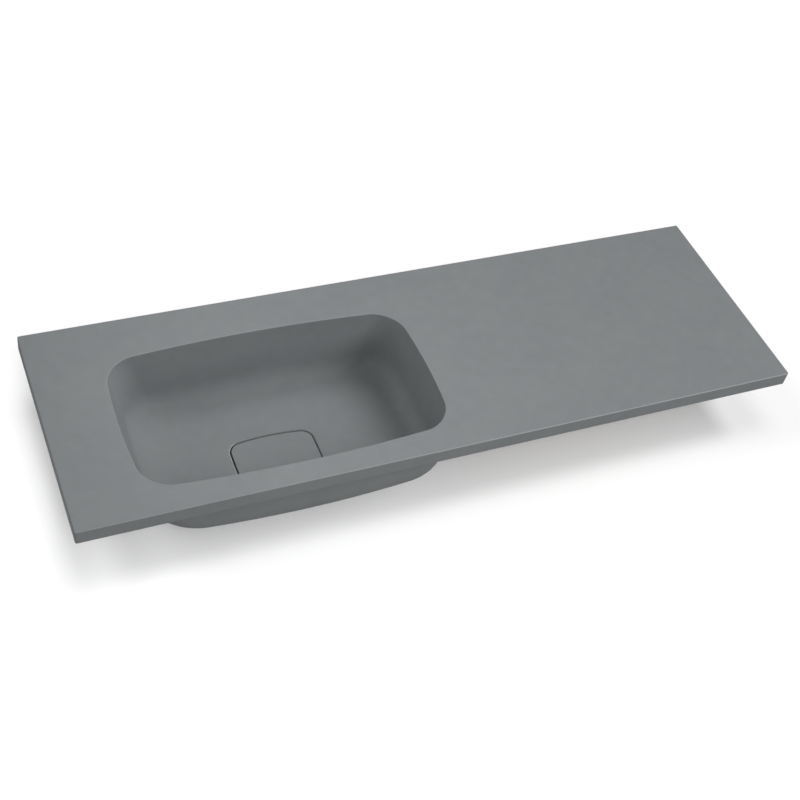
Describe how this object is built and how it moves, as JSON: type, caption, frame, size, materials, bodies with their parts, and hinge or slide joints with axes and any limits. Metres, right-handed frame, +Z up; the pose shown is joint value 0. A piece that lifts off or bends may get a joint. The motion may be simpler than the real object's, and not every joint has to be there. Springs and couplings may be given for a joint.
{
  "type": "washbasin",
  "caption": "Solid-surface vanity top with an integral rounded bowl at the left, a flat shelf at the right, and a flush lift-off drain cover over a free-flow waste.",
  "frame": {"origin": "middle of the underside of the rear strip, where the top rests on the cabinet's rear rail", "axes": "+X to the right along the width as seen from the front, +Y towards the wall, +Z up"},
  "size_m": [1.2, 0.384, 0.2215],
  "materials": {
    "solid_surface": "matt",
    "plywood": "raw",
    "brass": "machined",
    "chrome": "polished",
    "steel": "brushed",
    "rubber": "matt",
    "silicone": "satin",
    "nylon": "matt"
  },
  "bodies": {
    "basin": {"deck_sheet": "solid_surface", "front_strip": "solid_surface", "rear_strip": "solid_surface", "left_strip": "solid_surface", "right_strip": "solid_surface", "bowl_shell": "solid_surface", "shelf_batten_1": "plywood", "shelf_batten_2": "plywood", "shelf_batten_3": "plywood", "threaded_insert_left_front": "brass", "threaded_insert_left_rear": "brass", "threaded_insert_right_front": "brass", "threaded_insert_right_rear": "brass", "threaded_insert_rear_left": "brass", "threaded_insert_rear_right": "brass", "waste_body": "chrome", "flange_seal": "rubber", "lower_seal": "rubber", "slip_washer": "nylon", "back_nut": "brass"},
    "strainer": {"strainer_basket": "steel"},
    "cover": {"drain_cover": "solid_surface", "cover_locator": "steel", "cover_foot_left_front": "silicone", "cover_foot_right_front": "silicone", "cover_foot_left_rear": "silicone", "cover_foot_right_rear": "silicone"}
  },
  "joints": [
    {"name": "strainer_lift", "type": "slide", "parent": "basin", "child": "strainer", "axis": [0, 0, 1], "range_m": [0, 0.18]},
    {"name": "cover_lift", "type": "slide", "parent": "strainer", "child": "cover", "axis": [0, 0, 1], "range_m": [0, 0.17]}
  ]
}
